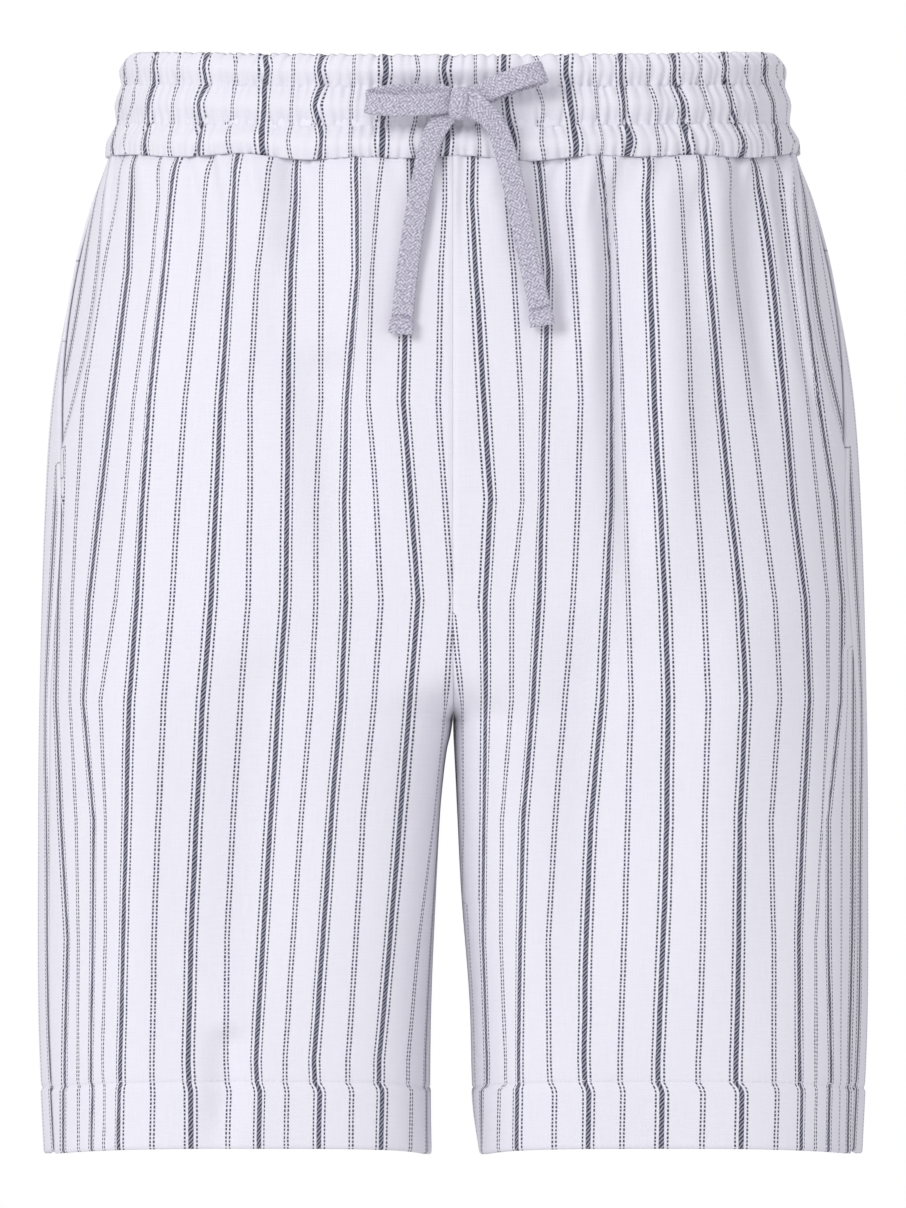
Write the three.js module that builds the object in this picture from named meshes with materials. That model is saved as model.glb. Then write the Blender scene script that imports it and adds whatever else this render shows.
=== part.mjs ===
// Striped linen bermuda shorts with an elasticated waist and a flat drawstring, filled out as if worn.
// Millimetres, +Z up, the front faces -Y and the wearer's left is +X.
// The origin is the middle of the waist opening, halfway up the waistband.
import * as THREE from "three";
import { mergeVertices } from "three/addons/utils/BufferGeometryUtils.js";

// Driving dimensions
const waistbandTop = 24.1;
const waistSeam = -24.1;
const pocketEnd = -165;
const crotch = -290;
const hemLine = -464;
const hemEdge = -495;
const clothWall = 1.4;
const hemWall = 2.4;
const casingWall = 2.6;
const seamGap = 0.3;
const facingGap = 0.5;
const gatherCount = 120;
const tapeWidth = 10;
const tapeThickness = 1.6;

// How far the front of the waist dips, the back of it rises and the front of the hem lifts
const frontDip = 5;
const backRise = 3;
const hemLift = 6.5;

// Half sections from the waist seam to the hem: the outline's half width, how far the front and the back
// stand from the middle plane, where that plane lies, how square the curve is, and the side seam's angle
const sections = [
  { z: waistSeam, half: 164.5, front: 109.5, back: 117, middle: 0, square: 2.25, seam: -0.15 },
  { z: -45, half: 171.5, front: 111.5, back: 124, middle: 0, square: 2.3, seam: -0.07 },
  { z: -92, half: 182, front: 114.5, back: 130, middle: 0, square: 2.4, seam: 0.1 },
  { z: -139, half: 189.5, front: 115.5, back: 131, middle: -1, square: 2.5, seam: 0.25 },
  { z: -196, half: 193, front: 114, back: 126, middle: -4, square: 2.6, seam: 0.37 },
  { z: crotch, half: 195.2, front: 107, back: 108, middle: -9, square: 2.7, seam: 0.43 },
  { z: -340, half: 195.6, front: 101, back: 92, middle: -12, square: 2.7, seam: 0.44 },
  { z: -430, half: 195.4, front: 98, back: 79, middle: -14, square: 2.7, seam: 0.44 },
  { z: hemEdge, half: 192.6, front: 97, back: 75, middle: -14, square: 2.7, seam: 0.44 },
];
// The legs' inner edges, and how square the curve is that turns in to them
const innerEdges = [
  { z: crotch, left: 0.6, right: 0.6, squareLeft: 4.2, squareRight: 5 },
  { z: -304, left: 2.4, right: 1.9, squareLeft: 3.9, squareRight: 4.7 },
  { z: -335, left: 2.6, right: 6, squareLeft: 3.3, squareRight: 4.1 },
  { z: -371, left: 3.8, right: 8, squareLeft: 2.9, squareRight: 3.7 },
  { z: -423, left: 7.8, right: 10.2, squareLeft: 2.7, squareRight: 3.3 },
  { z: -470, left: 9.4, right: 10.8, squareLeft: 2.7, squareRight: 3.1 },
  { z: hemEdge, left: 12.8, right: 10.4, squareLeft: 2.7, squareRight: 3.1 },
];
// Where the trunk starts to part into legs: its outer curves do so early, the valley between them late
const forkStart = -140;
const outerFork = 1.6;
const innerFork = 5;

// The waistband's outer rows, from the waist seam up: three puffed tiers parted by two rows of stitching
const casingRows = [
  { z: waistSeam, half: 164.5, front: 109.5, back: 117, square: 2.25, pucker: 0.5 },
  { z: -17, half: 163.2, front: 110.5, back: 118, square: 2.25, pucker: 0.9 },
  { z: -8.8, half: 159.4, front: 106.6, back: 114.4, square: 2.25, pucker: 0.45 },
  { z: 0.5, half: 159.4, front: 108.4, back: 116, square: 2.25, pucker: 0.95 },
  { z: 9.5, half: 157, front: 105.6, back: 113.4, square: 2.25, pucker: 0.45 },
  { z: 17.5, half: 157, front: 107, back: 114.6, square: 2.25, pucker: 0.9 },
  { z: waistbandTop, half: 152.5, front: 103.4, back: 111, square: 2.25, pucker: 0.5 },
];

// Folds that run down a panel: where each starts and ends, seen from the front or the back, how far it
// stands out (or in, below zero) and half its width
const folds = [
  { panel: "front_left", x1: 47, z1: -26, x2: 51, z2: -112, depth: -4.5, width: 8 },
  { panel: "front_left", x1: 62, z1: -26, x2: 64, z2: -150, depth: 3, width: 9 },
  { panel: "front_left", x1: 75, z1: -40, x2: 84, z2: -225, depth: -6, width: 9 },
  { panel: "front_left", x1: 98, z1: -26, x2: 104, z2: -190, depth: 3, width: 11 },
  { panel: "front_left", x1: 119, z1: -24, x2: 124, z2: -110, depth: 3.5, width: 9 },
  { panel: "front_left", x1: 136, z1: -26, x2: 150, z2: -150, depth: -3.5, width: 8 },
  { panel: "front_left", x1: 66, z1: -250, x2: 58, z2: -440, depth: -3.5, width: 20 },
  { panel: "front_left", x1: 130, z1: -240, x2: 118, z2: -430, depth: 3, width: 22 },
  { panel: "front_right", x1: -74, z1: -25, x2: -74, z2: -80, depth: -4.5, width: 7 },
  { panel: "front_right", x1: -92, z1: -25, x2: -96, z2: -130, depth: 3, width: 11 },
  { panel: "front_right", x1: -118, z1: -25, x2: -124, z2: -110, depth: -3, width: 9 },
  { panel: "front_right", x1: -46, z1: -26, x2: -44, z2: -120, depth: 2.5, width: 9 },
  { panel: "front_right", x1: -62, z1: -120, x2: -50, z2: -225, depth: -4, width: 15 },
  { panel: "front_right", x1: -88, z1: -260, x2: -98, z2: -430, depth: -3, width: 20 },
  { panel: "front_right", x1: -146, z1: -150, x2: -150, z2: -470, depth: 3, width: 14 },
  { panel: "front_right", x1: -104, z1: -440, x2: -108, z2: -495, depth: -3.5, width: 9 },
  { panel: "back_left", x1: 38, z1: -26, x2: 42, z2: -100, depth: -4, width: 9 },
  { panel: "back_left", x1: 84, z1: -26, x2: 92, z2: -150, depth: -4.5, width: 10 },
  { panel: "back_left", x1: 120, z1: -26, x2: 130, z2: -110, depth: 3, width: 10 },
  { panel: "back_left", x1: 46, z1: -200, x2: 92, z2: -290, depth: -4, width: 20 },
  { panel: "back_left", x1: 90, z1: -300, x2: 82, z2: -460, depth: 3.5, width: 20 },
  { panel: "back_right", x1: -44, z1: -26, x2: -48, z2: -120, depth: -4, width: 9 },
  { panel: "back_right", x1: -78, z1: -26, x2: -80, z2: -90, depth: 3, width: 9 },
  { panel: "back_right", x1: -106, z1: -26, x2: -116, z2: -140, depth: -4.5, width: 10 },
  { panel: "back_right", x1: -44, z1: -205, x2: -96, z2: -285, depth: -4, width: 20 },
  { panel: "back_right", x1: -110, z1: -300, x2: -100, z2: -460, depth: 3.5, width: 20 },
];

// Short gathers just under the waist seam, which fade out down the panel
const shortGathers = { perPanel: 13, depth: 1.2, fade: 42 };

// The drawstring's routes, the tape's middle line at each point; its flat face looks to the front
const tapeRoutes = {
  drawstring_loop_left: [
    { x: -1.6, y: -116.8, z: -3.6 }, { x: -7.8, y: -118.6, z: -4.4 }, { x: -15.6, y: -119.4, z: -5.1 },
    { x: -24.4, y: -119.4, z: -5.5 }, { x: -32.2, y: -118.8, z: -5.1 }, { x: -37.5, y: -117.6, z: -4.6 },
    { x: -39.5, y: -115.6, z: -3.6 }, { x: -37.5, y: -113.4, z: -2.2 }, { x: -32.2, y: -112.4, z: -1 },
    { x: -24.4, y: -112, z: -0.1 }, { x: -15.6, y: -112, z: 0.1 }, { x: -7.8, y: -112.2, z: -0.5 },
    { x: -1.6, y: -113, z: -1.4 },
  ],
  drawstring_loop_right: [
    { x: 11.4, y: -117.4, z: -0.7 }, { x: 16.6, y: -119.2, z: 1.9 }, { x: 22.5, y: -121.8, z: 4.4 },
    { x: 29.3, y: -122.4, z: 7 }, { x: 35.7, y: -122.2, z: 8.9 }, { x: 40.2, y: -120.8, z: 10.1 },
    { x: 41.8, y: -118.6, z: 10.1 }, { x: 39.8, y: -116.6, z: 9.1 }, { x: 34.8, y: -115.6, z: 7.4 },
    { x: 28.3, y: -115, z: 5.4 }, { x: 21.5, y: -114.6, z: 3.1 }, { x: 16.1, y: -114.6, z: 0.7 },
    { x: 11.4, y: -114.8, z: -1 },
  ],
  drawstring_tail_left: [
    { x: -2.3, y: -114.5, z: -8.8 }, { x: -5.9, y: -115, z: -13.4 }, { x: -9.6, y: -115, z: -20.2 },
    { x: -12.3, y: -115, z: -30 }, { x: -14.6, y: -115.4, z: -41.7 }, { x: -17.1, y: -116.2, z: -54.4 },
    { x: -18.9, y: -116.8, z: -66.1 }, { x: -20.6, y: -117.2, z: -77.8 }, { x: -22.1, y: -117.8, z: -90.5 },
    { x: -23.2, y: -118.4, z: -101.2 }, { x: -24.3, y: -119, z: -111 },
  ],
  drawstring_tail_right: [
    { x: 4.4, y: -121.9, z: -4.6 }, { x: 8.8, y: -121.9, z: -5.5 }, { x: 13.3, y: -121.8, z: -8.1 },
    { x: 17.2, y: -121.2, z: -11.4 }, { x: 20.5, y: -119.8, z: -16.1 },
    { x: 23.1, y: -118.2, z: -23.1 }, { x: 25.8, y: -117, z: -32.9 }, { x: 28.7, y: -116.6, z: -45.6 },
    { x: 31.6, y: -117, z: -59.2 }, { x: 34.5, y: -117.4, z: -72.9 }, { x: 37.3, y: -117.8, z: -85.6 },
    { x: 39.6, y: -118.2, z: -96.4 }, { x: 41.4, y: -118.8, z: -107.1 },
  ],
};
const loopUprights = {
  drawstring_loop_left: new THREE.Vector3(0.1, 0, 1).normalize(),
  drawstring_loop_right: new THREE.Vector3(-0.36, 0, 0.93).normalize(),
};
const knot = { x: 4.9, y: -115.2, z: -4.4, halfWidth: 6.3, halfDepth: 5.6, halfHeight: 7.6 };
const knotSquareness = 0.7;
const tapeStep = 5.5;

// Cloth grid
const panelColumns = 28;
const innerColumns = 10;
const innerStretch = 26;
const facingColumns = 7;
const facingOverlap = 0.07;
const flatEdge = 8;
const outlineSamples = 160;
const panelLevels = [
  waistSeam - seamGap, -34, -50, -74, -104, -135, -166, -200, -232, -256, -270, -279, -285, crotch,
  -304, -340, -385, -430, hemLine + 1, hemLine - 1, hemEdge,
];

function smooth(t) {
  const s = Math.min(1, Math.max(0, t));
  return s * s * (3 - 2 * s);
}

// A value between a table's rows, on a smooth curve through them
function column(rows, name, z) {
  const step = rows[0].z > rows[rows.length - 1].z ? -1 : 1;
  let i = 0;
  while (i < rows.length - 2 && (z - rows[i + 1].z) * step > 0) i += 1;
  const before = rows[Math.max(0, i - 1)];
  const a = rows[i];
  const b = rows[i + 1];
  const after = rows[Math.min(rows.length - 1, i + 2)];
  const span = b.z - a.z;
  const t = Math.min(1, Math.max(0, (z - a.z) / span));
  const slopeA = (b[name] - before[name]) / (b.z - before.z) * span;
  const slopeB = (after[name] - a[name]) / (after.z - a.z) * span;
  const t2 = t * t;
  const t3 = t2 * t;
  return (2 * t3 - 3 * t2 + 1) * a[name] + (t3 - 2 * t2 + t) * slopeA
    + (3 * t2 - 2 * t3) * b[name] + (t3 - t2) * slopeB;
}

function power(value, exponent) {
  return Math.sign(value) * Math.abs(value) ** exponent;
}

// One half's section at a height, on the positive side: the curves of its outer and inner ends, with a
// straight stretch between them above the crotch, and its depths
function halfSection(z, side) {
  const half = column(sections, "half", z);
  const edgeLevel = Math.min(z, crotch);
  const edge = column(innerEdges, side, edgeLevel);
  const legCentre = (half + edge) / 2;
  const parted = smooth((forkStart - z) / (forkStart - crotch));
  const outerCentre = Math.max(seamGap / 2, legCentre * parted ** outerFork);
  const innerCentre = Math.max(seamGap / 2, legCentre * parted ** innerFork);
  const innerSquare = column(innerEdges, side === "left" ? "squareLeft" : "squareRight", edgeLevel);
  return {
    outer: { centre: outerCentre, width: half - outerCentre, square: column(sections, "square", z) },
    inner: { centre: innerCentre, width: legCentre - edge, square: innerSquare },
    middle: column(sections, "middle", z),
    front: column(sections, "front", z),
    back: column(sections, "back", z),
  };
}

const straightCosine = 1e-9;

// A point of the section: angles above zero go round the front to the inner edge, below zero round the back
function sectionPoint(section, angle) {
  const reach = angle > 0 ? section.middle + section.front : section.back - section.middle;
  const end = Math.cos(angle) > straightCosine ? section.outer : section.inner;
  const exponent = 2 / end.square;
  return {
    x: end.centre + end.width * power(Math.cos(angle), exponent),
    y: section.middle - reach * power(Math.sin(angle), exponent),
  };
}

// The angle at which the section meets the centre seam, or its inner edge below the crotch
function innerAngle(section) {
  const { centre, width, square } = section.inner;
  const meets = Math.acos(-power(Math.min(1, (centre - seamGap / 2) / width), square / 2));
  return Math.min(meets, Math.PI - power(seamGap / 2 / section.front, square / 2));
}

// The front's side edge: a slanted pocket mouth down to the pocket's end, then the side seam
const pocketMouthAngle = 0.36;
const gapAngle = 0.002;

function seamAngle(z) {
  return column(sections, "seam", z);
}

function pocketAngle(z) {
  const mouth = Math.max(0, (z - pocketEnd) / (waistSeam - pocketEnd));
  return seamAngle(z) + pocketMouthAngle * mouth;
}

// How far along the cloth a row's points lie: the last columns keep to the stretch near the inner edge, so
// that the others stay upright where the legs part
function rowPlaces(dense, lengths, columns, lastColumns) {
  const total = lengths[lengths.length - 1];
  const firstColumns = columns - lastColumns;
  let first = total;
  if (lastColumns > 0) {
    const k = dense.findIndex((p) => p.x < innerStretch);
    const share = (innerStretch - dense[k].x) / (dense[k - 1].x - dense[k].x);
    first = lengths[k] + (lengths[k - 1] - lengths[k]) * share;
  }
  return Array.from({ length: columns + 1 }, (_, c) => (c <= firstColumns
    ? first * c / firstColumns
    : first + (total - first) * (c - firstColumns) / lastColumns));
}

// The points of one section between two angles, spaced along the cloth, with the outward normals
function clothRow(section, startAngle, endAngle, columns, lastColumns = 0) {
  const dense = [];
  for (let i = 0; i <= outlineSamples; i += 1) {
    const t = i / outlineSamples;
    dense.push(sectionPoint(section, startAngle + (endAngle - startAngle) * t));
  }
  const lengths = [0];
  for (let i = 1; i < dense.length; i += 1) {
    lengths.push(lengths[i - 1] + Math.hypot(dense[i].x - dense[i - 1].x, dense[i].y - dense[i - 1].y));
  }
  const total = lengths[lengths.length - 1];
  const turn = Math.sign(endAngle - startAngle);
  let k = 0;
  return rowPlaces(dense, lengths, columns, lastColumns).map((along) => {
    while (k < dense.length - 2 && lengths[k + 1] < along) k += 1;
    const t = (along - lengths[k]) / (lengths[k + 1] - lengths[k] || 1);
    const x = dense[k].x + (dense[k + 1].x - dense[k].x) * t;
    const y = dense[k].y + (dense[k + 1].y - dense[k].y) * t;
    const before = dense[Math.max(0, k - 1)];
    const after = dense[Math.min(dense.length - 1, k + 2)];
    const dx = after.x - before.x;
    const dy = after.y - before.y;
    const size = Math.hypot(dx, dy) || 1;
    return { x, y, nx: -dy / size * turn, ny: dx / size * turn, along, total };
  });
}

// How far the folds and the short gathers push a point of the panel out
function relief(panel, x, z, share) {
  let out = 0;
  for (const fold of folds.filter((f) => f.panel === panel)) {
    const t = (z - fold.z1) / (fold.z2 - fold.z1);
    if (t < -0.1 || t > 1.15) continue;
    const line = fold.x1 + (fold.x2 - fold.x1) * t;
    const fade = smooth((t + 0.1) / 0.2) * smooth((1.15 - t) / 0.5);
    out += fold.depth * fade * Math.exp(-(((x - line) / fold.width) ** 2));
  }
  const reach = smooth(1 - (waistSeam - z) / shortGathers.fade) * smooth((waistSeam - z) / 4 + 0.4);
  return out + shortGathers.depth * reach * Math.cos(2 * Math.PI * shortGathers.perPanel * share);
}

// The waist dips at the front and rises at the back, and the front of the hem lifts
function lift(z, facing) {
  const waistFade = smooth((z + 200) / (200 + waistSeam));
  const hemFade = smooth((crotch - z) / (crotch - hemEdge));
  const front = facing < 0 ? facing * facing : 0;
  const back = facing > 0 ? facing * facing : 0;
  return waistFade * (back * backRise - front * frontDip) + hemFade * front * hemLift;
}

// A closed wall between two grids of points with the same rows and columns
function wallBetween(outer, inner) {
  const rows = outer.length;
  const columns = outer[0].length;
  const positions = [];
  for (const grid of [outer, inner]) {
    for (const row of grid) for (const p of row) positions.push(p.x, p.y, p.z);
  }
  const at = (layer, r, c) => layer * rows * columns + r * columns + c;
  const faces = [];
  const quad = (a, b, c, d) => faces.push(a, b, c, a, c, d);
  for (let r = 0; r < rows - 1; r += 1) {
    for (let c = 0; c < columns - 1; c += 1) {
      quad(at(0, r, c), at(0, r, c + 1), at(0, r + 1, c + 1), at(0, r + 1, c));
      quad(at(1, r, c), at(1, r + 1, c), at(1, r + 1, c + 1), at(1, r, c + 1));
    }
    quad(at(0, r, 0), at(0, r + 1, 0), at(1, r + 1, 0), at(1, r, 0));
    quad(at(0, r + 1, columns - 1), at(0, r, columns - 1), at(1, r, columns - 1), at(1, r + 1, columns - 1));
  }
  for (let c = 0; c < columns - 1; c += 1) {
    quad(at(0, 0, c + 1), at(0, 0, c), at(1, 0, c), at(1, 0, c + 1));
    quad(at(0, rows - 1, c), at(0, rows - 1, c + 1), at(1, rows - 1, c + 1), at(1, rows - 1, c));
  }
  return closedGeometry(positions, faces);
}

// Rings joined into a tube whose last ring meets the first, or whose ends are capped by a fan
function tubeOf(rings, joined) {
  const count = rings[0].length;
  const positions = rings.flat().flatMap((p) => [p.x, p.y, p.z]);
  const faces = [];
  const last = joined ? rings.length : rings.length - 1;
  for (let r = 0; r < last; r += 1) {
    const next = (r + 1) % rings.length;
    for (let c = 0; c < count; c += 1) {
      const side = (c + 1) % count;
      faces.push(r * count + c, r * count + side, next * count + side);
      faces.push(r * count + c, next * count + side, next * count + c);
    }
  }
  if (!joined) {
    const end = (rings.length - 1) * count;
    for (let c = 1; c < count - 1; c += 1) {
      faces.push(0, c + 1, c);
      faces.push(end, end + c, end + c + 1);
    }
  }
  return closedGeometry(positions, faces);
}

// A geometry whose faces all look outwards
function closedGeometry(positions, faces) {
  let volume = 0;
  for (let i = 0; i < faces.length; i += 3) {
    const [a, b, c] = [0, 1, 2].map((k) => new THREE.Vector3().fromArray(positions, faces[i + k] * 3));
    volume += a.dot(b.cross(c));
  }
  if (volume < 0) {
    for (let i = 0; i < faces.length; i += 3) {
      [faces[i + 1], faces[i + 2]] = [faces[i + 2], faces[i + 1]];
    }
  }
  const geometry = new THREE.BufferGeometry();
  geometry.setAttribute("position", new THREE.Float32BufferAttribute(positions, 3));
  geometry.setIndex(faces);
  geometry.computeVertexNormals();
  return geometry;
}

// A front or back panel of one leg, from the waist seam to the hem
function panelGeometry(face, side) {
  const mirror = side === "left" ? 1 : -1;
  const panel = `${face}_${side}`;
  const outer = [];
  const inner = [];
  for (const z of panelLevels) {
    const section = halfSection(z, side);
    const row = face === "front"
      ? clothRow(section, pocketAngle(z) + gapAngle, innerAngle(section), panelColumns, innerColumns)
      : clothRow(section, seamAngle(z) - gapAngle, -innerAngle(section), panelColumns, innerColumns);
    const wall = z < hemLine ? hemWall : clothWall;
    const reach = face === "front" ? section.front : section.back;
    outer.push([]);
    inner.push([]);
    for (const p of row) {
      const out = relief(panel, p.x * mirror, z, p.along / p.total);
      const edge = smooth((Math.min(p.along, p.total - p.along) - flatEdge) / flatEdge);
      const level = z + lift(z, Math.max(-1, Math.min(1, p.y / reach)));
      const place = (d) => new THREE.Vector3((p.x + p.nx * d) * mirror, p.y + p.ny * d, level);
      outer[outer.length - 1].push(place(out * edge));
      inner[inner.length - 1].push(place(out * edge - wall));
    }
  }
  return wallBetween(outer, inner);
}

// The strip seen behind a slanted pocket mouth, which runs on under the front panel's edge
function facingGeometry(side) {
  const mirror = side === "left" ? 1 : -1;
  const outer = [];
  const inner = [];
  for (const z of panelLevels.filter((level) => level > pocketEnd - 4)) {
    const section = halfSection(z, side);
    const row = clothRow(section, seamAngle(z) + gapAngle, pocketAngle(z) + facingOverlap, facingColumns);
    const sunk = clothWall + facingGap;
    outer.push([]);
    inner.push([]);
    for (const p of row) {
      const level = z + lift(z, p.y / section.front);
      const place = (d) => new THREE.Vector3((p.x + p.nx * d) * mirror, p.y + p.ny * d, level);
      outer[outer.length - 1].push(place(-sunk));
      inner[inner.length - 1].push(place(-sunk - clothWall));
    }
  }
  return wallBetween(outer, inner);
}

// The gathered casing: puckers round the outside of each tier over a plain inside
function casingGeometry() {
  const ring = (row, depth) => {
    const end = { centre: 0, width: row.half, square: row.square };
    const section = { outer: end, inner: end, middle: 0, front: row.front, back: row.back };
    const points = clothRow(section, -Math.PI, Math.PI, gatherCount * 2).slice(0, -1);
    return points.map((p, i) => {
      const uneven = 0.7 + 0.3 * Math.sin(i * 1.7 + row.z * 0.4) * Math.sin(i * 0.23);
      const pucker = depth > 0 ? 0 : row.pucker * uneven * (i % 2 === 0 ? 1 : -1);
      const level = row.z + lift(row.z, p.y / (p.y < 0 ? row.front : row.back));
      return new THREE.Vector3(p.x + p.nx * (pucker - depth), p.y + p.ny * (pucker - depth), level);
    });
  };
  const lowest = casingRows[0];
  const highest = casingRows[casingRows.length - 1];
  const rings = casingRows.map((row) => ring(row, 0));
  rings.push(ring(highest, casingWall), ring(lowest, casingWall));
  return tubeOf(rings, true);
}

// A flat tape swept along its route, its face towards the front and its edges bevelled
function tapeGeometry(route, upright) {
  const curve = new THREE.CatmullRomCurve3(route.map((p) => new THREE.Vector3(p.x, p.y, p.z)), false, "centripetal");
  const steps = Math.max(12, Math.round(curve.getLength() / tapeStep));
  const w = tapeWidth / 2;
  const t = tapeThickness / 2;
  const outline = [[w, t / 2], [w - t, t], [t - w, t], [-w, t / 2], [-w, -t / 2], [t - w, -t], [w - t, -t], [w, -t / 2]];
  const rings = [];
  for (let i = 0; i <= steps; i += 1) {
    const point = curve.getPointAt(i / steps);
    const along = curve.getTangentAt(i / steps);
    const across = tapeAcross(along, upright);
    const out = new THREE.Vector3().crossVectors(along, across);
    rings.push(outline.map(([a, b]) => point.clone().addScaledVector(across, a).addScaledVector(out, b)));
  }
  return tubeOf(rings, false);
}

// The tape's width direction, square to its run: a loop's keeps to one direction as it folds back, and a
// tail's turns with it within the plane the front faces
function tapeAcross(along, upright) {
  if (!upright) return new THREE.Vector3(-along.z, 0, along.x).normalize();
  return upright.clone().addScaledVector(along, -upright.dot(along)).normalize();
}

// The bow's knot: the tape wrapped once round, a pillow wider at the front
function knotGeometry() {
  const geometry = new THREE.SphereGeometry(1, 16, 10);
  geometry.deleteAttribute("normal");
  geometry.deleteAttribute("uv");
  const merged = mergeVertices(geometry, 1e-4);
  const positions = merged.getAttribute("position");
  for (let i = 0; i < positions.count; i += 1) {
    const [x, y, z] = [positions.getX(i), positions.getY(i), positions.getZ(i)];
    positions.setXYZ(
      i,
      knot.x + knot.halfWidth * power(x, knotSquareness) * (1 + 0.08 * z),
      knot.y + knot.halfDepth * power(y, knotSquareness),
      knot.z + knot.halfHeight * power(z, knotSquareness),
    );
  }
  merged.computeVertexNormals();
  return merged;
}

const linen = new THREE.MeshStandardMaterial({ color: 0xeeecf4, roughness: 0.9, metalness: 0 });
const tape = new THREE.MeshStandardMaterial({ color: 0xb9b5c4, roughness: 0.95, metalness: 0 });

const shorts = new THREE.Group();
function add(name, geometry, material) {
  const mesh = new THREE.Mesh(geometry, material);
  mesh.name = name;
  shorts.add(mesh);
}

for (const side of ["left", "right"]) {
  add(`front_${side}`, panelGeometry("front", side), linen);
  add(`back_${side}`, panelGeometry("back", side), linen);
  add(`pocket_facing_${side}`, facingGeometry(side), linen);
}
add("waistband", casingGeometry(), linen);
add("drawstring_knot", knotGeometry(), tape);
for (const [name, route] of Object.entries(tapeRoutes)) add(name, tapeGeometry(route, loopUprights[name]), tape);

export default shorts;
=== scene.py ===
# Striped linen bermuda shorts, dressed over their solids. Lengths are millimetres until a mesh is made.
import math

import bpy
import numpy as np
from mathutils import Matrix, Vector


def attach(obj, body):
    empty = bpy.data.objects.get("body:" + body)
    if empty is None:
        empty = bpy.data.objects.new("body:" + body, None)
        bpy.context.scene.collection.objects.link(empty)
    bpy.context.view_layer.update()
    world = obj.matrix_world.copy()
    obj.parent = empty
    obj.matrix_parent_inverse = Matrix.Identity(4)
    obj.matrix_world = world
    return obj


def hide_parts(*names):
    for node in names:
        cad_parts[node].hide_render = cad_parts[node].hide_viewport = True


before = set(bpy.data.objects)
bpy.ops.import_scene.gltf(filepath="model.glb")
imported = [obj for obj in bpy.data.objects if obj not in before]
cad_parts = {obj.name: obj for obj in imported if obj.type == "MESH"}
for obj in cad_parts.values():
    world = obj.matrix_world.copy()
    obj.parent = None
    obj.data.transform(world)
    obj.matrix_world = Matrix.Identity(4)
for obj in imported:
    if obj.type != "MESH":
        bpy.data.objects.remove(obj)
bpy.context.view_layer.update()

mm = 0.001

# The photograph's view: a level camera far in front, its scale taken at the origin's distance
photoView = {
    "high": 1208,           # pixels of the frame's height
    "centreColumn": 453,    # pixel column of the origin
    "waistRow": 106,        # pixel row of the origin
    "pixel": 0.4732,        # size of a pixel
    "distance": 5000,       # from the camera to the origin's plane
    "sensor": 36,
}
eyeLevel = (photoView["waistRow"] - photoView["high"] / 2) * photoView["pixel"]


def addObject(name, data):
    made = bpy.data.objects.new(name, data)
    bpy.context.scene.collection.objects.link(made)
    return made


def placeCamera():
    data = bpy.data.cameras.new("camera")
    data.sensor_width = photoView["sensor"]
    data.lens = photoView["sensor"] * photoView["distance"] / (photoView["high"] * photoView["pixel"])
    data.clip_end = 100
    camera = addObject("camera", data)
    camera.location = (0, -photoView["distance"] * mm, eyeLevel * mm)
    camera.rotation_euler = (math.pi / 2, 0, 0)
    bpy.context.scene.camera = camera


def pixelOf(points):     # where the photograph's camera sees points: pixel column and row
    near = 1 + points[..., 1] / photoView["distance"]
    column = photoView["centreColumn"] + points[..., 0] / near / photoView["pixel"]
    level = eyeLevel + (points[..., 2] - eyeLevel) / near
    return column, photoView["waistRow"] - level / photoView["pixel"]


# Meshes from grids of points

def power(value, exponent):
    return np.sign(value) * np.abs(value) ** exponent


def smooth(t):
    s = np.clip(t, 0, 1)
    return s * s * (3 - 2 * s)


def curveBetween(a, slopeA, b, slopeB, t):    # from a at t 0 to b at t 1, with the slopes there
    return ((2 * t**3 - 3 * t**2 + 1) * a + (t**3 - 2 * t**2 + t) * slopeA
            + (3 * t**2 - 2 * t**3) * b + (t**3 - t**2) * slopeB)


def tableOf(names, *rows):    # a dictionary for each row
    return [dict(zip(names.split(), row)) for row in rows]


def tableValue(rows, name, z):    # a column of a table, on a smooth curve through its rows
    levels = [row["z"] for row in rows]
    step = -1 if levels[0] > levels[-1] else 1
    i = 0
    while i < len(rows) - 2 and (z - levels[i + 1]) * step > 0:
        i += 1
    before, a, b, after = rows[max(0, i - 1)], rows[i], rows[i + 1], rows[min(len(rows) - 1, i + 2)]
    span = b["z"] - a["z"]
    t = min(1, max(0, (z - a["z"]) / span))
    slopeA = (b[name] - before[name]) / (b["z"] - before["z"]) * span
    slopeB = (after[name] - a[name]) / (after["z"] - a["z"]) * span
    return curveBetween(a[name], slopeA, b[name], slopeB, t)


def meshPiece(name, points, faces, uvs, material):
    # points in millimetres, faces as rows of point numbers, uvs as rows of one (u, v) for each corner
    a, b, c = (points[faces[:, i]] for i in range(3))
    if np.einsum("ij,ij->i", a, np.cross(b, c)).sum() < 0:
        faces = faces[:, ::-1]
        uvs = uvs[:, ::-1]
    mesh = bpy.data.meshes.new(name)
    mesh.from_pydata((points * mm).tolist(), [], faces.tolist())
    layer = mesh.uv_layers.new(name="cloth")
    layer.data.foreach_set("uv", (uvs.reshape(-1) * mm).astype(np.float32))
    mesh.polygons.foreach_set("use_smooth", [True] * len(mesh.polygons))
    mesh.materials.append(material)
    return addObject(name, mesh)


def gridFaces(ids):      # four corners for each cell of a grid of point numbers
    return np.stack([ids[:-1, :-1], ids[:-1, 1:], ids[1:, 1:], ids[1:, :-1]], axis=-1).reshape(-1, 4)


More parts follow.
